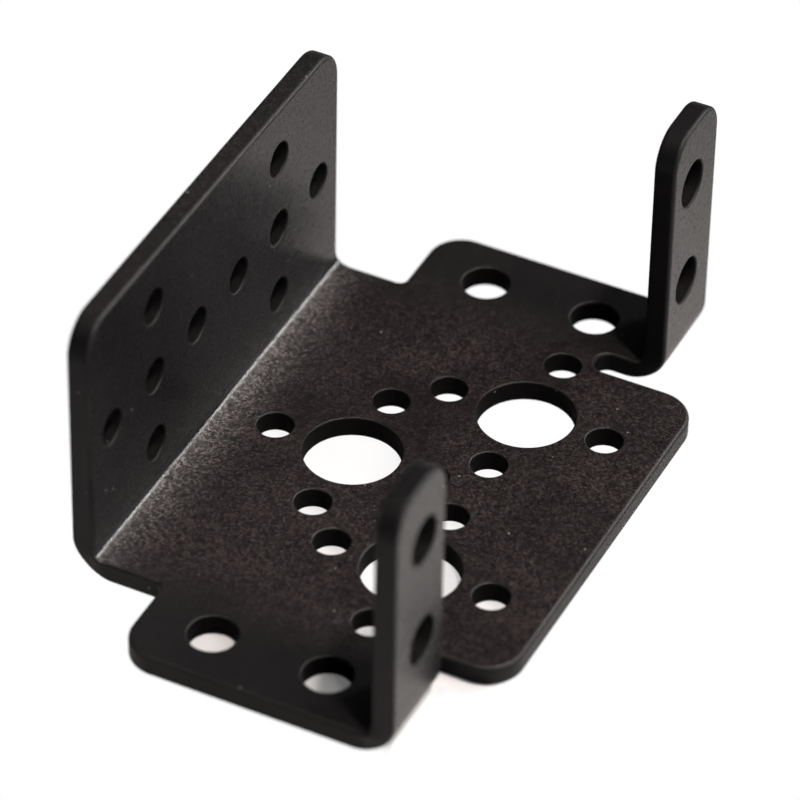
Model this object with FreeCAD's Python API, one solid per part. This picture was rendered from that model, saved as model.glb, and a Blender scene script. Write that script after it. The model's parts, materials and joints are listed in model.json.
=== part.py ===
import FreeCAD, Part
import math
import os

from FreeCAD import Vector

# Multi-purpose bracket for a standard hobby servo motor.
# One blank of aluminium sheet, punched, folded up three times (one wide wall,
# two narrow ears) and powder-coated all over. It is a single piece of metal.
#
# Frame: +X runs along the wall (longest side), +Y from the wall towards the
# ears and the tongue, +Z up. The origin is the centre of the bounding box in
# X and Y, on the underside of the base. The bracket mirrors in the plane X = 0.
# Depths are measured in +Y from the wall's outer face.

# ---- sheet ----
SHEET = 1.95           # thickness, coating included
BEND_INNER = 0.8       # inside radius of all three folds
BEND_OUTER = 3.5       # outside radius: the sheet is a little thinner round a fold
EDGE_ROUND = 0.35      # tumbled and coated edges along the outline
RIM_ROUND = 0.2        # hole rims, which tumbling reaches less
SHARP_ANGLE = math.radians(60)  # faces turned further apart than this are rounded

# ---- base plate ----
BASE_HALF = 21.1       # half of the base's width beside the wall, and of the wall's
TAB_HALF = 29.1        # half of the width over the side tabs, and over the ears
TAB_START = 8.2        # depth where the side tabs begin
TAB_CORNER = 3.0       # rounded free corner of a tab
NOTCH_CORNER = 0.7     # inside corner between base side and tab
TONGUE_HALF = 18.45    # half of the tongue's width
TONGUE_END = 36.7      # free edge of the tongue, also the overall depth
TONGUE_CORNER = 3.2
SLOT_END = 26.7        # closed end of the relief slot beside each ear
SLOT_CORNER = 1.0      # rounding of the slot's closed end

# ---- wall and ears ----
FLANGE_TOP = 24.9      # top of wall and ears, from the underside
WALL_CORNER = 3.2
EAR_INNER = 20.7       # half of the gap between the ears
EAR_FACE = 32.3        # depth of both ears' outer faces
EAR_CORNER = 3.0

# ---- hole patterns ----
HORN_CIRCLE_R = 7.0    # servo-horn screws sit on a 14 mm circle
SCREW_R = 1.5          # clearance hole for an M3 screw
HORN_HOLE_R = 4.05     # centre hole that clears a horn's hub and its screw
CROSS_X = 10.55        # the paired crosses, in base and wall, to each side of X = 0
HORN_CENTRES = [(0.0, 14.1), (-CROSS_X, 24.6), (CROSS_X, 24.6)]  # x, depth
WALL_CROSS_Z = 12.95
SERVO_HOLE_PITCH = 10.0  # a servo flange has its two holes 10 mm apart
SERVO_HOLE_R = 2.0     # clearance hole for the flange screws
SERVO_HOLE_X = 24.35   # the pairs in the tabs and in the ears
TAB_HOLE_DEPTH = 14.3  # first hole of the pair
EAR_HOLE_Z = 8.95      # lower hole of the pair
DRILL_EXTRA = 1.0      # how far a drill reaches past each face of the sheet

WALL_Y = -TONGUE_END / 2  # the wall's outer face in the part's own frame
UP = Vector(0, 0, 1)
INWARD = Vector(0, 1, 0)  # from the wall towards the tongue


def rounded_wire(corners, place):
    """Closed wire through (across, along, radius) corners; place maps a pair to 3D."""
    count = len(corners)
    turns = []  # (start, middle or None, end) of each corner
    for i in range(count):
        across, along, radius = corners[i]
        if radius <= 0:
            turns.append(((across, along), None, (across, along)))
            continue
        corner = Vector(across, along, 0)
        before = (Vector(*corners[i - 1][:2], 0) - corner).normalize()
        after = (Vector(*corners[(i + 1) % count][:2], 0) - corner).normalize()
        half_angle = before.getAngle(after) / 2
        cut = radius / math.tan(half_angle)
        bisector = (before + after).normalize()
        middle = corner + bisector * (radius / math.sin(half_angle) - radius)
        start = corner + before * cut
        end = corner + after * cut
        turns.append(((start.x, start.y), (middle.x, middle.y), (end.x, end.y)))

    edges = []
    for i in range(count):
        start, middle, end = turns[i]
        if middle is not None:
            edges.append(Part.Arc(place(*start), place(*middle), place(*end)).toShape())
        following = turns[(i + 1) % count][0]
        if math.dist(following, end) > 1e-6:
            edges.append(Part.LineSegment(place(*end), place(*following)).toShape())
    return Part.Wire(edges)


def plate(corners, place, push):
    return Part.Face(rounded_wire(corners, place)).extrude(push)


def fold(x_min, x_max, outer_depth, base_side):
    """A quarter-turn fold along X, between the base and an upright flange.

    outer_depth is where the outer faces would meet. base_side is +1 if the base
    lies on the +Y side of that corner, -1 if it lies on the -Y side.
    """
    def point(in_base, z):
        return Vector(x_min, WALL_Y + outer_depth + base_side * in_base, z)

    def line(start, end):
        return Part.LineSegment(point(*start), point(*end)).toShape()

    def arc(start, middle, end):
        return Part.Arc(point(*start), point(*middle), point(*end)).toShape()

    inner = SHEET + BEND_INNER
    to_middle = 1 - math.sqrt(0.5)  # arc's middle from its corner, in radii
    outer_middle = BEND_OUTER * to_middle
    inner_middle = SHEET + BEND_INNER * to_middle
    wire = Part.Wire([
        arc((BEND_OUTER, 0), (outer_middle, outer_middle), (0, BEND_OUTER)),
        line((0, BEND_OUTER), (SHEET, BEND_OUTER)),
        line((SHEET, BEND_OUTER), (SHEET, inner)),
        arc((SHEET, inner), (inner_middle, inner_middle), (inner, SHEET)),
        line((inner, SHEET), (BEND_OUTER, SHEET)),
        line((BEND_OUTER, SHEET), (BEND_OUTER, 0)),
    ])
    return Part.Face(wire).extrude(Vector(x_max - x_min, 0, 0))


def flange(x_min, x_max, outer_depth, base_side, corner):
    """An upright plate with rounded top corners, and the fold at its foot."""
    near_depth = outer_depth if base_side > 0 else outer_depth - SHEET
    upright = plate([
        (x_min, BEND_OUTER, 0),
        (x_max, BEND_OUTER, 0),
        (x_max, FLANGE_TOP, corner),
        (x_min, FLANGE_TOP, corner),
    ], lambda x, z: Vector(x, WALL_Y + near_depth, z), INWARD * SHEET)
    return [upright, fold(x_min, x_max, outer_depth, base_side)]


def base_plate():
    """Flat base with its tabs, tongue and relief slots."""
    ear_fold = EAR_FACE - BEND_OUTER
    right = [  # x, depth, corner radius
        (BASE_HALF, BEND_OUTER, 0),
        (BASE_HALF, TAB_START, NOTCH_CORNER),
        (TAB_HALF, TAB_START, TAB_CORNER),
        (TAB_HALF, ear_fold, 0),
        (EAR_INNER, ear_fold, 0),
        (EAR_INNER, SLOT_END, SLOT_CORNER),
        (TONGUE_HALF, SLOT_END, SLOT_CORNER),
        (TONGUE_HALF, TONGUE_END, TONGUE_CORNER),
    ]
    left = [(-x, depth, radius) for x, depth, radius in reversed(right)]
    return plate(right + left, lambda x, depth: Vector(x, WALL_Y + depth, 0), UP * SHEET)


def drill(x, depth, z, radius, axis):
    """Cylinder through the sheet whose lower-Y or lower-Z face is at the given point."""
    face = Vector(x, WALL_Y + depth, z)
    return Part.makeCylinder(radius, SHEET + 2 * DRILL_EXTRA, face - axis * DRILL_EXTRA, axis)


def hole_drills():
    arms = [(HORN_CIRCLE_R, 0), (0, HORN_CIRCLE_R), (-HORN_CIRCLE_R, 0), (0, -HORN_CIRCLE_R)]
    drills = []
    for x, depth in HORN_CENTRES:
        drills.append(drill(x, depth, 0, HORN_HOLE_R, UP))
        for dx, dy in arms:
            drills.append(drill(x + dx, depth + dy, 0, SCREW_R, UP))
    for side in (-1, 1):
        x = side * SERVO_HOLE_X
        for step in (0, SERVO_HOLE_PITCH):
            drills.append(drill(x, TAB_HOLE_DEPTH + step, 0, SERVO_HOLE_R, UP))
            drills.append(drill(x, EAR_FACE - SHEET, EAR_HOLE_Z + step, SERVO_HOLE_R, INWARD))
        for dx, dz in [(0, 0)] + arms:
            drills.append(drill(side * CROSS_X + dx, 0, WALL_CROSS_Z + dz, SCREW_R, INWARD))
    return drills


def is_rim(edge):
    return isinstance(edge.Curve, Part.Circle) and edge.isClosed()


def sharp_edges(body, rims):
    """Hole rims or outline edges at real corners, not where a flat runs into a fold."""
    def is_sharp(edge):
        faces = body.ancestorsOfType(edge, Part.Face)
        if len(faces) != 2:
            return False
        middle = edge.valueAt((edge.FirstParameter + edge.LastParameter) / 2)
        normals = [face.normalAt(*face.Surface.parameter(middle)) for face in faces]
        return normals[0].getAngle(normals[1]) > SHARP_ANGLE

    return [edge for edge in body.Edges if is_sharp(edge) and is_rim(edge) == rims]


def servo_bracket():
    flanges = flange(-BASE_HALF, BASE_HALF, 0, 1, WALL_CORNER)
    for side in (-1, 1):
        x_min, x_max = sorted((side * EAR_INNER, side * TAB_HALF))
        flanges += flange(x_min, x_max, EAR_FACE, -1, EAR_CORNER)
    body = base_plate().fuse(flanges).removeSplitter()
    body = body.cut(hole_drills())
    body = body.makeFillet(EDGE_ROUND, sharp_edges(body, rims=False))
    body = body.makeFillet(RIM_ROUND, sharp_edges(body, rims=True))
    assert len(body.Solids) == 1 and body.Solids[0].isValid()
    return body.Solids[0]


os.makedirs("parts", exist_ok=True)
servo_bracket().exportStep("parts/servo_bracket.step")
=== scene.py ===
"""A folded sheet-metal servo bracket in black powder coat.

The base lies on the floor, z = 0. The wall rises along its -Y edge, with its outer face towards -Y.
Two ears rise on the +Y side, one at each end in X, and a flat tongue runs on in +Y between them.
"""
import json
import math

import bpy
import numpy as np
from mathutils import Matrix, Vector
from mathutils.geometry import delaunay_2d_cdt


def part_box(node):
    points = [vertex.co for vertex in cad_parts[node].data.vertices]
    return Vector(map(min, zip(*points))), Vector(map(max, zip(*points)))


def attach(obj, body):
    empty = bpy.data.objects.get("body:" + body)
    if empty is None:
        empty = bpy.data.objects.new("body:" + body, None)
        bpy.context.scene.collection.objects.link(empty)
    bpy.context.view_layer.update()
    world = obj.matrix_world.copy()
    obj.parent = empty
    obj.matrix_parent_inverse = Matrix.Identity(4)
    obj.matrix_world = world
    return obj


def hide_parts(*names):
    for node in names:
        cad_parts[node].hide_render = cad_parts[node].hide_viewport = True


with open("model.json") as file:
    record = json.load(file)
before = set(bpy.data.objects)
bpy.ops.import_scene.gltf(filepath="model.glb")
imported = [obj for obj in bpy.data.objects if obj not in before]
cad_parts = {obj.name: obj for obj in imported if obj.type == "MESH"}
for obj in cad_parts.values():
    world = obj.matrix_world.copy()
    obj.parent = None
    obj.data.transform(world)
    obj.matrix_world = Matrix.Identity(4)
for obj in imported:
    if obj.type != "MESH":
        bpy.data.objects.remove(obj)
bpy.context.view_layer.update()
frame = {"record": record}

MM = 0.001
scene = bpy.context.scene

# ---------------------------------------------------------------------------
# 1. Sheet dimensions, in millimetres
# ---------------------------------------------------------------------------
# The flat blank is drawn in (u, v, w): u runs along the wall, v along the developed length, wall
# first, and w through the sheet, from 0 on the outside of the folds to T on the inside.

low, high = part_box("servo_bracket")
mounts = {mount["name"]: mount for mount in frame["record"]["mounts"]}

Y0 = low.y / MM                         # the wall's outer face
HEIGHT = high.z / MM                    # top of the wall and of the ears
EAR_FACE = mounts["ear_flange_screws"]["pos_m"][1] / MM - Y0    # the ears' outer face
T = 1.95                                # thickness
RI, RO = 0.8, 3.5                       # inside and outside radius of the folds
OUTLINE_ROUND, RIM_ROUND = 0.35, 0.2    # edge rounding on the outline and on the hole rims
OUTLINE_ROUND_STEPS, RIM_ROUND_STEPS = 6, 5

# outline: half widths in u, places in v, and corner radii
BASE_HALF = 21.1                        # wall, and base next to it
WALL_CORNER = 3.2
TAB_HALF = high.x / MM                  # side tabs, which carry the ears
TAB_START = 8.2
TAB_CORNER, NOTCH_CORNER = 3.0, 0.7
EAR_INNER, EAR_CORNER = 20.7, 3.0
SLOT_END, SLOT_CORNER = 26.7, 1.0       # closed end of the slots between ears and tongue
TONGUE_HALF, TONGUE_CORNER = 18.45, 3.2
TONGUE_END = (high.y - low.y) / MM
SPLIT = (TONGUE_HALF + EAR_INNER) / 2   # the ears lie outside this |u|, the tongue inside

# developed lengths
INNER_FLAT = RO - T - RI                # straight part of the inside at each end of a fold
INNER_LEN = 2 * INNER_FLAT + math.pi / 2 * RI
OUTER_LEN = math.pi / 2 * RO
FOLD_LEN = (INNER_LEN + OUTER_LEN) / 2
V_WALL = RO - FOLD_LEN                  # the wall's flat part lies below this v
V_WALL_TOP = V_WALL - (HEIGHT - RO)
V_EAR0 = EAR_FACE - RO                  # the ear folds run from here
V_EAR1 = V_EAR0 + FOLD_LEN              # to here
V_EAR_TOP = V_EAR1 + (HEIGHT - RO)
FOLD_MIDS = V_WALL + FOLD_LEN / 2, V_EAR0 + FOLD_LEN / 2

BULGE = 0.20                            # metal squeezed out sideways at the ends of a fold
BULGE_REACH = 1.1                       # how far along the fold the bulge fades

# mesh spacing
EDGE_STEP = 0.8                         # along straight edges
MIDDLE_STEP = 0.11                      # along edges in the middle of a fold
FOLD_STEPS = 18                         # over a whole fold
MIDDLE_STEPS = 14                       # extra rows over the middle of a fold
ARC_STEP, ARC_STEPS_MIN = math.radians(6), 8
GRID = 1.0                              # between the points that fill a face
FOLD_ROWS = sorted({round(k / FOLD_STEPS, 4) for k in range(FOLD_STEPS + 1)}
                   | {round(0.34 + 0.32 * k / MIDDLE_STEPS, 4) for k in range(MIDDLE_STEPS + 1)})
HOLE_RINGS = (0.5, 2), (0.95, 3)        # distance from the rim, rim points per ring point
RING_GAP, LOOP_GAP, GRID_GAP = 0.44, 0.62, 0.42     # ring to loops, grid to loops, grid to rings

# corners of the +X half of the outline: u, v, radius
RIGHT_CORNERS = [
    (BASE_HALF, V_WALL_TOP, WALL_CORNER),
    (BASE_HALF, TAB_START, NOTCH_CORNER),
    (TAB_HALF, TAB_START, TAB_CORNER),
    (TAB_HALF, V_EAR_TOP, EAR_CORNER),
    (EAR_INNER, V_EAR_TOP, EAR_CORNER),
    (EAR_INNER, SLOT_END, SLOT_CORNER),
    (TONGUE_HALF, SLOT_END, SLOT_CORNER),
    (TONGUE_HALF, TONGUE_END, TONGUE_CORNER),
]


# ---------------------------------------------------------------------------
# 2. Folding
# ---------------------------------------------------------------------------
def quarter_turn(s, w):
    """Distance along the base and height above it, for s = 0..1 along a fold."""
    outer_angle = s * OUTER_LEN / RO
    outer_x = RO - RO * np.sin(outer_angle)
    outer_z = RO - RO * np.cos(outer_angle)
    run = s * INNER_LEN
    inner_angle = np.clip((run - INNER_FLAT) / RI, 0, math.pi / 2)
    before = np.clip(INNER_FLAT - run, 0, None)
    after = np.clip(run - INNER_FLAT - math.pi / 2 * RI, 0, None)
    inner_x = T + RI - RI * np.sin(inner_angle) + before
    inner_z = T + RI - RI * np.cos(inner_angle) + after
    depth = w / T
    return outer_x + (inner_x - outer_x) * depth, outer_z + (inner_z - outer_z) * depth


def squeeze(s, w):
    """Sideways bulge at the very end of a fold: out on the inside, in on the outside."""
    return BULGE * (2 * w / T - 1) * np.sin(math.pi * s) ** 2


def fade(distance):
    return np.exp(-np.abs(distance) / BULGE_REACH)


def fold(points):
    """Blank coordinates to the folded bracket, with y from the wall's outer face."""
    u, v, w = points.T
    x, y, z = u.copy(), v.copy(), w.copy()
    side, across = np.sign(u), np.abs(u)
    ear = across > SPLIT

    part = (v < RO) & (v >= V_WALL)                     # wall fold
    s = (RO - v[part]) / FOLD_LEN
    y[part], z[part] = quarter_turn(s, w[part])
    x[part] += side[part] * squeeze(s, w[part]) * fade(BASE_HALF - across[part])

    part = v < V_WALL                                   # wall
    y[part], z[part] = w[part], RO + V_WALL - v[part]

    part = (v > V_EAR0) & (v <= V_EAR1) & ear           # ear folds
    s = (v[part] - V_EAR0) / FOLD_LEN
    distance, z[part] = quarter_turn(s, w[part])
    y[part] = EAR_FACE - distance
    fades = fade(TAB_HALF - across[part]) - fade(across[part] - EAR_INNER)
    x[part] += side[part] * squeeze(s, w[part]) * fades

    part = (v > V_EAR1) & ear                           # ears
    y[part], z[part] = EAR_FACE - w[part], RO + v[part] - V_EAR1
    return np.stack([x, y, z], 1)


def bend_normals(blank, normals):
    """Normals that follow the fold: two tangents are bent with the sheet and crossed again."""
    helper = np.where(np.abs(normals[:, :1]) < 0.7, [[1.0, 0, 0]], [[0, 1.0, 0]])
    tangent = np.cross(normals, helper)
    tangent /= np.linalg.norm(tangent, axis=1)[:, None]
    reach = 2e-3

    def bent(direction):
        return fold(blank + reach * direction) - fold(blank - reach * direction)

    result = np.cross(bent(tangent), bent(np.cross(normals, tangent)))
    return result / np.linalg.norm(result, axis=1)[:, None]


# ---------------------------------------------------------------------------
# 3. Outline and holes on the blank
# ---------------------------------------------------------------------------
def round_corner(before, corner, after):
    """Start, end and centre of a corner's arc, its radius, and +1 if convex, else -1."""
    tip = np.array(corner[:2], float)
    back = np.array(before[:2], float) - tip
    ahead = np.array(after[:2], float) - tip
    back /= np.linalg.norm(back)
    ahead /= np.linalg.norm(ahead)
    radius = corner[2]
    half = math.acos(max(-1, min(1, float(back @ ahead)))) / 2
    cut = radius / math.tan(half)
    middle = (back + ahead) / np.linalg.norm(back + ahead)
    turn = 1 if (-back[0] * ahead[1] + back[1] * ahead[0]) > 0 else -1
    centre = tip + middle * radius / math.sin(half)
    return tip + back * cut, tip + ahead * cut, centre, radius, turn


def edge_step(u, v):
    """Spacing of the points along a straight edge, closer in the folds."""
    wall_fold = V_WALL - 0.3 < v < RO + 0.3
    ear_fold = V_EAR0 - 0.3 < v < V_EAR1 + 0.3 and abs(u) > SPLIT
    if not (wall_fold or ear_fold):
        return EDGE_STEP
    near_middle = min(abs(v - middle) for middle in FOLD_MIDS) < 0.17 * FOLD_LEN
    return MIDDLE_STEP if near_middle else FOLD_LEN / FOLD_STEPS


def outline(corners):
    """Points and outward normals of a counter-clockwise loop of (u, v, radius) corners."""
    points, normals = [], []
    count = len(corners)
    arcs = [round_corner(corners[i - 1], corners[i], corners[(i + 1) % count])
            for i in range(count)]
    for i, (start, end, centre, radius, turn) in enumerate(arcs):
        first = math.atan2(*(start - centre)[::-1])
        last = math.atan2(*(end - centre)[::-1])
        sweep = (last - first + math.pi) % (2 * math.pi) - math.pi
        steps = max(ARC_STEPS_MIN, int(math.ceil(abs(sweep) / ARC_STEP)))
        for j in range(steps + 1):
            angle = first + sweep * j / steps
            direction = np.array([math.cos(angle), math.sin(angle)])
            points.append(centre + direction * radius)
            normals.append(direction * turn)

        line = arcs[(i + 1) % count][0] - end
        length = float(np.linalg.norm(line))
        along = line / length
        stops = [0.0]
        while stops[-1] < length - 1e-9:
            stops.append(stops[-1] + edge_step(*(end + along * (stops[-1] + 1e-6))))
        for stop in np.array(stops[1:-1]) * (length / stops[-1]):
            points.append(end + along * stop)
            normals.append(np.array([along[1], -along[0]]))
    return np.array(points), np.array(normals)


def on_blank(x, y, z):
    """Where a point of the record, in metres, lies on the flat blank."""
    x, y, z = x / MM, y / MM - Y0, z / MM
    if z > RO and y < EAR_FACE / 2:
        return x, V_WALL - (z - RO)
    if z > RO:
        return x, V_EAR1 + (z - RO)
    return x, y


def find_holes():
    """All round holes, as (u, v, radius)."""
    found = []
    for mount in mounts.values():
        dims = mount["dims"]
        if mount["kind"] == "bore":
            found.append((*on_blank(*mount["pos_m"][:2], 0), dims["r_mm"]))
        elif mount["kind"] == "bolt_pattern":
            u, v = on_blank(*mount["pos_m"])
            if "pcd_mm" in dims:
                spots = [(math.cos(angle) * dims["pcd_mm"] / 2, math.sin(angle) * dims["pcd_mm"] / 2)
                         for angle in (0, math.pi / 2, math.pi, 1.5 * math.pi)]
            else:
                half_x, half_y = dims["spacing_x_mm"] / 2, dims.get("spacing_y_mm", 0) / 2
                spots = sorted({(i * half_x, j * half_y) for i in (-1, 1) for j in (-1, 1)})
            found += [(u + du, v + dv, dims["hole_r_mm"]) for du, dv in spots]
    return found


def rim_count(radius):
    return 4 * int(round(radius * 7 + 6))


def directions(count, shift=0):
    """Unit vectors evenly round a circle; shift is a fraction of a step."""
    angle = (np.arange(count) + shift) * 2 * math.pi / count
    return np.stack([np.cos(angle), np.sin(angle)], 1)


holes = find_holes()
left_corners = [(-u, v, radius) for u, v, radius in reversed(RIGHT_CORNERS)]
loops = [(*outline(RIGHT_CORNERS + left_corners), False)]   # points, outward normals, is a hole
for u, v, radius in holes:
    outward = directions(rim_count(radius))
    loops.append((np.array([u, v]) + outward * radius, -outward, True))


# ---------------------------------------------------------------------------
# 4. Sheet mesh
# ---------------------------------------------------------------------------
def inside(points, rings):
    """Even-odd test of blank points against closed rings."""
    hit = np.zeros(len(points), bool)
    batch = 4000
    for start in rings:
        end = np.roll(start, -1, 0)
        for i in range(0, len(points), batch):
            x, y = points[i:i + batch, 0, None], points[i:i + batch, 1, None]
            cross = (start[:, 1] > y) != (end[:, 1] > y)
            with np.errstate(divide="ignore", invalid="ignore"):
                cross_x = start[:, 0] + (y - start[:, 1]) * (end[:, 0] - start[:, 0]) / (
                    end[:, 1] - start[:, 1])
            hit[i:i + batch] ^= (np.sum(cross & (x < cross_x), 1) % 2).astype(bool)
    return hit


def clearance(points, others):
    """Distance from each point to the nearest of the others."""
    nearest = np.empty(len(points))
    batch = 2000
    for i in range(0, len(points), batch):
        offset = points[i:i + batch, None] - others[None]
        nearest[i:i + batch] = np.sqrt((offset ** 2).sum(2)).min(1)
    return nearest


def face_points():
    """Points that fill a face: a grid, closer rows in the folds, and two rings round each hole."""
    edges = [points for points, _, _ in loops]
    edge_points = np.concatenate(edges)
    rings = np.concatenate([
        np.array([u, v]) + (radius + offset) * directions(rim_count(radius) // share, 0.5)
        for u, v, radius in holes for offset, share in HOLE_RINGS])
    rings = rings[inside(rings, edges)]
    rings = rings[clearance(rings, edge_points) > RING_GAP]

    rows = list(np.arange(V_WALL_TOP + GRID / 2, V_WALL - 0.35, GRID))
    rows += [V_WALL + FOLD_LEN * s for s in FOLD_ROWS]
    rows += list(np.arange(RO + 0.6, V_EAR0 - 0.3, GRID))
    columns = np.arange(-math.floor(TAB_HALF), math.floor(TAB_HALF) + 0.5, GRID)
    ear_columns = [u for u in columns if abs(u) > SPLIT]
    tongue_columns = [u for u in columns if abs(u) < SPLIT]
    areas = (
        (rows, columns),
        ([V_EAR0 + FOLD_LEN * s for s in FOLD_ROWS], ear_columns),
        (np.arange(V_EAR1 + 0.5, V_EAR_TOP, GRID), ear_columns),
        (np.arange(V_EAR0 + 0.2, TONGUE_END, GRID), tongue_columns),
    )
    grid = np.array([(u, v) for vs, us in areas for v in vs for u in us])
    grid = grid[inside(grid, edges)]
    free = (clearance(grid, edge_points) > LOOP_GAP) & (clearance(grid, rings) > GRID_GAP)
    return np.concatenate([rings, grid[free]])


class Sheet:
    """Vertices on the blank, with normals and edge values, and the faces between them."""

    def __init__(self):
        self.count = 0
        self.blank, self.normals, self.values, self.faces = [], [], [], []

    def add(self, points, w, normals, side=0.0, is_hole=False):
        """Adds points at depth w and returns their indices; side is 1 on the cut edge."""
        size = len(points)
        edge_round = math.sin(2 * math.asin(side)) if 0 < side < 1 else 0.0
        self.blank.append(np.column_stack([points, np.full(size, w)]))
        self.normals.append(normals)
        self.values.append(np.tile([edge_round, side, side if is_hole else 0.0], (size, 1)))
        self.count += size
        return np.arange(self.count - size, self.count)


def edge_profile(radius, steps):
    """The rounded edge from top to bottom: inset, w, and the normal's side and up parts."""
    angles = [math.pi / 2 * k / steps for k in range(steps + 1)]
    top = [(radius * (1 - math.sin(t)), T - radius * (1 - math.cos(t)), math.sin(t), math.cos(t))
           for t in angles]
    bottom = [(radius * (1 - math.sin(t)), radius * (1 - math.cos(t)), math.sin(t), -math.cos(t))
              for t in reversed(angles)]
    return top + bottom


def add_edge(sheet, points, outward, is_hole):
    """The edge face along one loop; returns its top and bottom rings."""
    profile = (edge_profile(RIM_ROUND, RIM_ROUND_STEPS) if is_hole
               else edge_profile(OUTLINE_ROUND, OUTLINE_ROUND_STEPS))
    rings = []
    for inset, w, side, up in profile:
        normals = np.column_stack([outward * side, np.full(len(points), up)])
        rings.append(sheet.add(points - outward * inset, w, normals, side, is_hole))
    for upper, lower in zip(rings, rings[1:]):
        quads = np.stack([upper, lower, np.roll(lower, -1), np.roll(upper, -1)], 1)
        if is_hole:
            quads = quads[:, ::-1]
        sheet.faces += quads.tolist()
    return rings[0], rings[-1]


def add_face(sheet, rings, fill, w, up):
    """The triangulated face at depth w between the rings; up is +1 for the top, -1 below."""
    blank = np.concatenate(sheet.blank)
    ring_points = [blank[ring, :2] for ring in rings]
    points = np.concatenate(ring_points + [fill])
    edges, first = [], 0
    for ring in rings:
        size = len(ring)
        edges += [(first + k, first + (k + 1) % size) for k in range(size)]
        first += size
    result = delaunay_2d_cdt([Vector(point) for point in points.tolist()], edges, [], 0, 1e-7)
    assert len(result[0]) == len(points), "the triangulation added points"
    source = np.array([origins[0] for origins in result[3]])
    triangles = source[np.array([list(face) for face in result[2]])]
    triangles = triangles[inside(points[triangles].mean(1), ring_points)]
    corner, second, third = (points[triangles[:, k]] for k in range(3))
    flipped = np.cross(second - corner, third - corner) * up < 0
    triangles[flipped] = triangles[flipped][:, ::-1]
    fill_ids = sheet.add(fill, w, np.tile([0.0, 0.0, up], (len(fill), 1)))
    sheet.faces += np.concatenate([*rings, fill_ids])[triangles].tolist()


def build_bracket():
    sheet = Sheet()
    top_rings, bottom_rings = zip(*[add_edge(sheet, *loop) for loop in loops])
    fill = face_points()
    add_face(sheet, top_rings, fill, T, 1)
    add_face(sheet, bottom_rings, fill, 0.0, -1)

    blank = np.concatenate(sheet.blank)
    place = fold(blank)
    place[:, 1] += Y0
    mesh = bpy.data.meshes.new("bracket_sheet")
    mesh.from_pydata((place * MM).tolist(), [], sheet.faces)
    mesh.validate()
    mesh.shade_smooth()
    normals = bend_normals(blank, np.concatenate(sheet.normals))
    mesh.normals_split_custom_set_from_vertices(normals.tolist())
    values = np.concatenate(sheet.values).astype(np.float32)
    for column, label in enumerate(("edge_round", "edge_cut", "hole_cut")):
        attribute = mesh.attributes.new(label, "FLOAT", "POINT")
        attribute.data.foreach_set("value", values[:, column].copy())
    return add("bracket_sheet", mesh)


def add(name, data):
    ob = bpy.data.objects.new(name, data)
    scene.collection.objects.link(ob)
    return ob


bracket = build_bracket()
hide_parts("servo_bracket")
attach(bracket, "root")


# ---------------------------------------------------------------------------
# 5. Materials
# ---------------------------------------------------------------------------
class Shader:
    """A new material and short-hands for its nodes. Inputs take a number, a colour or a socket."""

    def __init__(self, name):
        self.material = bpy.data.materials.new(name)
        self.material.use_nodes = True
        self.tree = self.material.node_tree
        self.tree.nodes.clear()

    def node(self, kind, **settings):
        node = self.tree.nodes.new("ShaderNode" + kind)
        for key, value in settings.items():
            setattr(node, key, value)
        return node

    def put(self, node, inputs):
        for key, value in inputs.items():
            if isinstance(value, tuple):
                node.inputs[key].default_value = (*value, 1)
            elif isinstance(value, (int, float)):
                node.inputs[key].default_value = value
            else:
                self.tree.links.new(value, node.inputs[key])
        return node

    def calc(self, operation, first, second=0.0):
        return self.put(self.node("Math", operation=operation), {0: first, 1: second}).outputs[0]

    def plus(self, first, second):
        return self.calc("ADD", first, second)

    def times(self, first, second):
        return self.calc("MULTIPLY", first, second)

    def less(self, first, second):
        return self.calc("SUBTRACT", first, second)

    def remap(self, value, over=(0, 1), to=(0, 1), kind="LINEAR"):
        return self.put(self.node("MapRange", interpolation_type=kind), {
            "Value": value, "From Min": over[0], "From Max": over[1],
            "To Min": to[0], "To Max": to[1]}).outputs[0]

    def blend(self, factor, first, second):
        node = self.node("Mix", data_type="RGBA")
        return self.put(node, {0: factor, 6: first, 7: second}).outputs[2]

    def mix_shader(self, factor, first, second):
        return self.put(self.node("MixShader"), {0: factor, 1: first, 2: second}).outputs[0]

    def split_xyz(self, vector):
        return self.put(self.node("SeparateXYZ"), {0: vector}).outputs

    def attribute(self, name):
        return self.node("Attribute", attribute_name=name).outputs["Fac"]

    def noise(self, vector, scale, detail=1.0):
        node = self.node("TexNoise")
        return self.put(node, {"Vector": vector, "Scale": scale, "Detail": detail}).outputs[0]

    def cells(self, vector, scale):
        """Distance from the cell centres, and three random values for each cell."""
        node = self.put(self.node("TexVoronoi"), {"Vector": vector, "Scale": scale})
        chances = self.put(self.node("SeparateColor"), {0: node.outputs["Color"]}).outputs
        return node.outputs["Distance"], chances

    def finish(self, shader):
        self.put(self.node("OutputMaterial"), {0: shader})
        return self.material


# texture scales per metre
PEBBLE_SCALE, GRAIN_SCALE, FINE_SCALE = 6000, 2400, 9000
NIB_SCALE, PEEL_SCALE, PATCH_SCALE = 900, 650, 170
# bump heights, metres
PEBBLE_HEIGHT, GRAIN_HEIGHT, FINE_HEIGHT = 26e-6, 24e-6, 8e-6
PEEL_HEIGHT, NIB_HEIGHT = 20e-6, 30e-6
# texture values that are stretched over a whole effect
PATCH_SPAN, GRAIN_SPAN, CUT_SPAN = (0.35, 0.65), (0.3, 0.7), (0.3, 0.9)
# colours, pairs from dark to light
WALL_COAT = (0.0050, 0.0048, 0.0052), (0.0066, 0.0062, 0.0066)
# painted top light: what faces up is painted lighter and warmer, as if lit from above
PAINTED_TOP_LIGHT = (0.0032, 0.0026, 0.0027), (0.0335, 0.0265, 0.0265)
# painted glow: the base next to the wall fold is painted much lighter, standing in for light
# reflected from the fold
CORNER_GLOW = (0.014, 0.013, 0.013), (0.19, 0.178, 0.177)
WORN_EDGE = (0.022, 0.018, 0.017)
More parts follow.
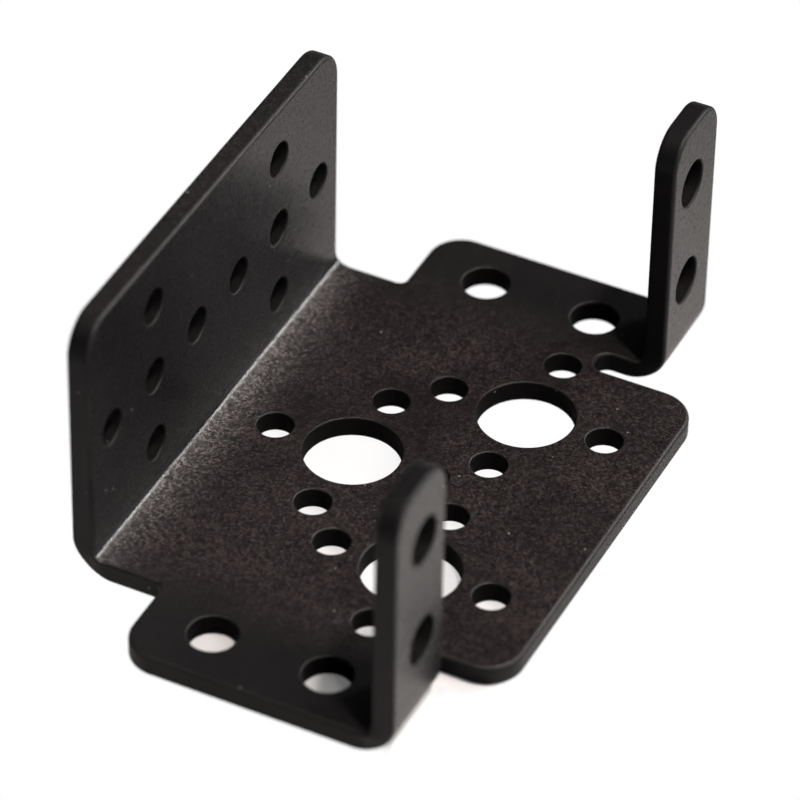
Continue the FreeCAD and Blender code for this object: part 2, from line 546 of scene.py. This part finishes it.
# painted shade: the bores of the holes are painted darker
HOLE_SHADE = (0.0050, 0.0046, 0.0046)
NIB_COAT, NIB_COVER = (0.20, 0.19, 0.185), 0.9
# roughness: upright and upward faces, then what folds, worn edges, cut edges and grain add
ROUGH = 0.26, 0.45
FOLD_POLISH, WORN_ROUGH, CUT_ROUGH, GRAIN_ROUGH = -0.08, 0.22, 0.14, 0.03
# specular level, and what the holes take off it
PLAIN_SHINE, SANDY_SHINE, WALL_SHINE, CUT_SHINE = 0.5, 0.20, 0.33, 0.20
HOLE_DULL = 0.08
# bump gain: upright and upward faces, what the wall corner adds, what folds and wear take off
BUMP_GAIN = 0.30, 1.0
CORNER_GAIN, FOLD_LOSS, WORN_LOSS = 0.4, 0.3, 0.8
# places, metres
TAB_SHADE_SPAN = (BASE_HALF - 4) * MM, (BASE_HALF + 3) * MM            # |x| where the painted top light fades to painted shade on the tabs
CORNER_SPAN = (Y0 + T + RI) * MM, (Y0 + T + RI + 5.5) * MM          # y, from the wall fold: where the painted glow and the painted sparkle fade
CORNER_WIDTH = 0.006, 0.020                                         # |x|
WALL_SPAN = (Y0 + T + 0.10) * MM, (Y0 + T + 0.25) * MM              # y, at the wall's inner face


def powder_coat():
    """Near-black satin powder coat: pebbled, gently rippled, sandier on what faces up. What faces up
    is painted lighter and warmer as painted top light, with painted shade on the tabs, a painted
    glow by the wall fold and painted shade in the bores.
    """
    s = Shader("powder_coat_black")
    plus, times, less, remap, blend = s.plus, s.times, s.less, s.remap, s.blend
    spot = s.node("TexCoord").outputs["Object"]
    grain = s.noise(spot, GRAIN_SCALE)              # unevenness between the pebbles
    fine = s.noise(spot, FINE_SCALE)                # smaller grains
    peel = s.noise(spot, PEEL_SCALE)                # slow ripple of the film
    patch = s.noise(spot, PATCH_SCALE, detail=2.0)  # uneven thickness of the coat

    # pebbles: one dome in each cell, some of them much lighter than the rest
    distance, chance = s.cells(spot, PEBBLE_SCALE)
    dome = remap(distance, over=(0.10, 0.62), to=(1.0, 0.0))
    dome = times(dome, remap(chance[0], to=(0.35, 1.0)))
    light = plus(times(s.calc("POWER", chance[1], 3.0), 0.8),
                 remap(grain, over=GRAIN_SPAN, to=(0.0, 0.2)))

    # masks by direction, place and edge
    normal = s.split_xyz(s.node("NewGeometry").outputs["Normal"])
    place = s.split_xyz(spot)
    cut = remap(s.attribute("edge_cut"), over=CUT_SPAN)
    bore = remap(s.attribute("hole_cut"), over=CUT_SPAN)
    worn = s.attribute("edge_round")
    # painted shade on the tabs: the painted top light fades out beyond the base
    middle = remap(s.calc("ABSOLUTE", place[0]), over=TAB_SHADE_SPAN, to=(1.0, 0.1))
    up = times(remap(normal[2], over=(0.55, 0.95)), remap(cut, to=(1.0, 0.1)))
    bend = times(remap(normal[2], over=(0.15, 0.4)),
                 remap(normal[2], over=(0.75, 0.97), to=(1, 0)))
    bend = times(bend, less(1.0, cut))
    # painted glow: how strongly the base next to the wall fold is painted lighter
    near_wall = remap(place[1], over=CORNER_SPAN, to=(1, 0))
    corner = times(up, s.calc("POWER", near_wall, 3.0))
    corner = times(corner, remap(s.calc("ABSOLUTE", place[0]), over=CORNER_WIDTH, to=(1.0, 0.5)))

    # nibs: scattered grains standing proud of the film; the extra ones in the wall corner are
    # painted sparkle
    distance, chance = s.cells(spot, NIB_SCALE)
    nib = times(remap(distance, over=(0.04, 0.11), to=(1.0, 0.0)),
                s.calc("GREATER_THAN", chance[0], less(0.90, times(corner, 0.6))))

    dark = blend(remap(patch, over=PATCH_SPAN), *WALL_COAT)
    # painted top light on what faces up
    top_lit = blend(times(light, remap(patch, over=PATCH_SPAN, to=(0.7, 1.3))), *PAINTED_TOP_LIGHT)
    # the painted glow next to the wall fold goes over the rest
    colour = blend(corner, blend(times(up, middle), dark, top_lit), blend(light, *CORNER_GLOW))
    wear = times(worn, remap(patch, over=(0.4, 0.7), to=(0.0, 0.5)))
    colour = blend(wear, colour, WORN_EDGE)
    # painted shade in the bores of the holes; HOLE_DULL dims their reflection to match
    colour = blend(bore, colour, HOLE_SHADE)
    colour = blend(times(nib, NIB_COVER), colour, NIB_COAT)

    rough = plus(remap(up, to=ROUGH), plus(times(bend, FOLD_POLISH), times(worn, WORN_ROUGH)))
    rough = plus(rough, plus(remap(grain, over=GRAIN_SPAN, to=(-GRAIN_ROUGH, GRAIN_ROUGH)),
                             remap(cut, to=(0.0, CUT_ROUGH))))

    wall = remap(place[1], over=WALL_SPAN, to=(WALL_SHINE, PLAIN_SHINE))
    shine = s.calc("MINIMUM", wall, remap(up, to=(PLAIN_SHINE, SANDY_SHINE)))
    shine = s.calc("MINIMUM", remap(cut, to=(PLAIN_SHINE, CUT_SHINE)), shine)
    shine = less(shine, times(bore, HOLE_DULL))

    gain = plus(remap(up, to=BUMP_GAIN), times(corner, CORNER_GAIN))
    loss = s.calc("MAXIMUM", times(bend, FOLD_LOSS), times(worn, WORN_LOSS))
    gain = times(gain, less(1.0, loss))
    bumped = {}
    for height, size in ((dome, PEBBLE_HEIGHT), (grain, GRAIN_HEIGHT), (fine, FINE_HEIGHT),
                         (peel, PEEL_HEIGHT), (nib, NIB_HEIGHT)):
        bump = s.put(s.node("Bump"), {
            "Strength": 1.0, "Distance": times(gain, size), "Height": height, **bumped})
        bumped = {"Normal": bump.outputs[0]}

    return s.finish(s.put(s.node("BsdfPrincipled"), {
        "Base Color": colour, "Roughness": rough, "Specular IOR Level": shine, "IOR": 1.5,
        **bumped}).outputs[0])


# floor, metres: where the footprints of the sheet fade out
BASE_FADE = (0.0190, 0.0205), (0.0165, 0.0180)      # |x|, |y|
TAB_FADE = (0.0270, 0.0285), (0.0105, 0.0120)       # |x|, |y - TAB_Y|
TAB_Y = 0.0025
SEEN_GREY = (0.68, 0.68, 0.675)                     # lit floor that the camera sees
SEEN_SPAN, SEEN_SHARE = (-0.012, 0.026), (0.0, 0.9)         # x, and how much of it shows there
BOUNCE_SPAN, BOUNCE_GREY = (-0.050, -0.010), (0.325, 0.455)  # x, and floor grey for other rays: painted shade, darker towards -X
BOUNCE_LOSS = 0.85                                  # painted shade: taken off that grey under the sheet


def floor_white():
    """Plain white to the camera, shaded only under the sheet; grey and lit to other rays, with
    painted shade towards -X and under the sheet.
    """
    s = Shader("floor_white")
    x, y, _ = s.split_xyz(s.node("NewGeometry").outputs["Position"])
    across = s.calc("ABSOLUTE", x)

    def ramp(value, over, to=(1.0, 0.0)):
        return s.remap(value, over, to, kind="SMOOTHSTEP")

    def footprint(along, fades):
        return s.times(ramp(across, fades[0]), ramp(s.calc("ABSOLUTE", along), fades[1]))

    under = s.calc("MAXIMUM", footprint(y, BASE_FADE), footprint(s.less(y, TAB_Y), TAB_FADE))
    # painted shade for other rays: darker towards -X and under the sheet
    grey = s.times(ramp(x, BOUNCE_SPAN, BOUNCE_GREY), s.less(1.0, s.times(under, BOUNCE_LOSS)))
    lit = s.put(s.node("BsdfDiffuse"), {0: grey})
    shaded = s.put(s.node("BsdfDiffuse"), {0: SEEN_GREY})
    share = s.times(under, ramp(x, SEEN_SPAN, SEEN_SHARE))
    seen = s.mix_shader(share, s.node("Emission").outputs[0], shaded.outputs[0])
    camera_ray = s.node("LightPath").outputs["Is Camera Ray"]
    return s.finish(s.mix_shader(camera_ray, lit.outputs[0], seen))


bracket.data.materials.append(powder_coat())

# ---------------------------------------------------------------------------
# 6. Studio
# ---------------------------------------------------------------------------
scene.view_settings.view_transform = "Standard"

# world to camera, with the camera's y down and z ahead: axis times angle, and a shift in mm
# from the middle of the foot of the wall's outer face
VIEW_TURN = np.array([1.3081, 2.1300, -0.9755])
VIEW_SHIFT = np.array([-16.4826, 1.3467, 441.9059])
FLOOR_HALF = 6.0
LAMP_DISTANCE = 0.9
# name, azimuth, elevation, irradiance at the bracket, colour, half width and height in degrees
LAMPS = [
    ("front", 92, 46, 2.15, (1.0, 0.97, 0.94), 12, None),
    ("top", 150, 68, 0.4, (1.0, 0.95, 0.92), 12, None),
    # soft boxes on the -X +Y side, which the inside of the fold shows as a bright band
    ("key", 140, 30, 1.6, (1.0, 0.98, 0.96), 5.0, 4.0),
    ("key_low", 137, 20, 1.0, (1.0, 0.98, 0.96), 6.0, 6.0),
]
POOL_DISTANCE, POOL_STRENGTH = 0.5, 38.0
WORLD_DARK, WORLD_GAIN = 0.02, 0.98     # strength for reflections, and what camera rays add


def turn_matrix(turn):
    """Rotation matrix of an axis times an angle in radians."""
    angle = np.linalg.norm(turn)
    x, y, z = turn / angle
    cross = np.array([[0, -z, y], [z, 0, -x], [-y, x, 0]])
    return np.eye(3) + math.sin(angle) * cross + (1 - math.cos(angle)) * cross @ cross


def add_camera():
    """Long lens at +X +Y, looking down, with the wall on the left of the view."""
    to_camera = turn_matrix(VIEW_TURN)
    matrix = np.eye(4)
    matrix[:3, :3] = to_camera.T @ np.diag([1, -1, -1])
    matrix[:3, 3] = (-to_camera.T @ VIEW_SHIFT + np.array([0, Y0, 0])) * MM
    camera = add("camera", bpy.data.cameras.new("camera"))
    camera.matrix_world = Matrix(matrix.tolist())
    camera.data.sensor_width = 36
    camera.data.lens = 243.3627
    camera.data.clip_start = 0.01
    camera.data.clip_end = 20
    focus = add("focus", None)
    focus.location = (0.0, Y0 * MM + 0.010, 0.004)
    camera.data.dof.use_dof = True
    camera.data.dof.focus_object = focus
    camera.data.dof.aperture_fstop = 32
    scene.camera = camera


def add_floor():
    mesh = bpy.data.meshes.new("floor")
    corners = [(i * FLOOR_HALF, j * FLOOR_HALF, 0) for i, j in ((-1, -1), (1, -1), (1, 1), (-1, 1))]
    mesh.from_pydata(corners, [], [(0, 1, 2, 3)])
    floor = add("floor", mesh)
    floor.location.z = -0.00002         # just clear of the sheet
    mesh.materials.append(floor_white())


def aim(ob, target, direction, distance):
    """Places a light at a distance from the target and turns it to shine back at it."""
    ob.location = Vector(target) + direction * distance
    ob.rotation_euler = (-direction).to_track_quat("-Z", "Y").to_euler()


def add_lamp(name, azimuth, elevation, irradiance, colour, half_wide, half_high):
    """A soft lamp: round, or a box where half_high is given."""
    data = bpy.data.lights.new(name, "AREA")
    data.shape = "RECTANGLE" if half_high else "DISK"
    data.size = 2 * LAMP_DISTANCE * math.tan(math.radians(half_wide))
    if half_high:
        data.size_y = 2 * LAMP_DISTANCE * math.tan(math.radians(half_high))
    data.energy = irradiance * math.pi * LAMP_DISTANCE ** 2
    data.color = colour
    lamp = add(name, data)
    turn, rise = math.radians(azimuth), math.radians(elevation)
    direction = Vector((math.cos(turn) * math.cos(rise), math.sin(turn) * math.cos(rise),
                        math.sin(rise)))
    aim(lamp, (0, 0, 0.01), direction, LAMP_DISTANCE)
    lamp.visible_camera = False


def add_pool():
    """A soft pool of warmer light on the middle of the base."""
    pool = add("pool", bpy.data.lights.new("pool", "SPOT"))
    pool.data.energy = POOL_STRENGTH * 4 * math.pi * POOL_DISTANCE ** 2
    pool.data.color = (1.0, 0.88, 0.84)
    pool.data.spot_size = math.radians(5.3)
    pool.data.spot_blend = 1.0
    pool.data.shadow_soft_size = 0.06
    aim(pool, (-0.006, -0.002, 0.002), Vector((0.17, 0.30, 0.94)).normalized(), POOL_DISTANCE)


def add_world():
    """White to the camera, dark to reflections."""
    world = bpy.data.worlds.new("world")
    scene.world = world
    world.use_nodes = True
    nodes, links = world.node_tree.nodes, world.node_tree.links
    backdrop = nodes["Background"]
    backdrop.inputs[0].default_value = (1, 1, 1, 1)
    path = nodes.new("ShaderNodeLightPath")
    strength = nodes.new("ShaderNodeMath")
    strength.operation = "MULTIPLY_ADD"
    strength.inputs[1].default_value = WORLD_GAIN
    strength.inputs[2].default_value = WORLD_DARK
    links.new(path.outputs["Is Camera Ray"], strength.inputs[0])
    links.new(strength.outputs[0], backdrop.inputs[1])


add_camera()
add_floor()
for row in LAMPS:
    add_lamp(*row)
add_pool()
add_world()
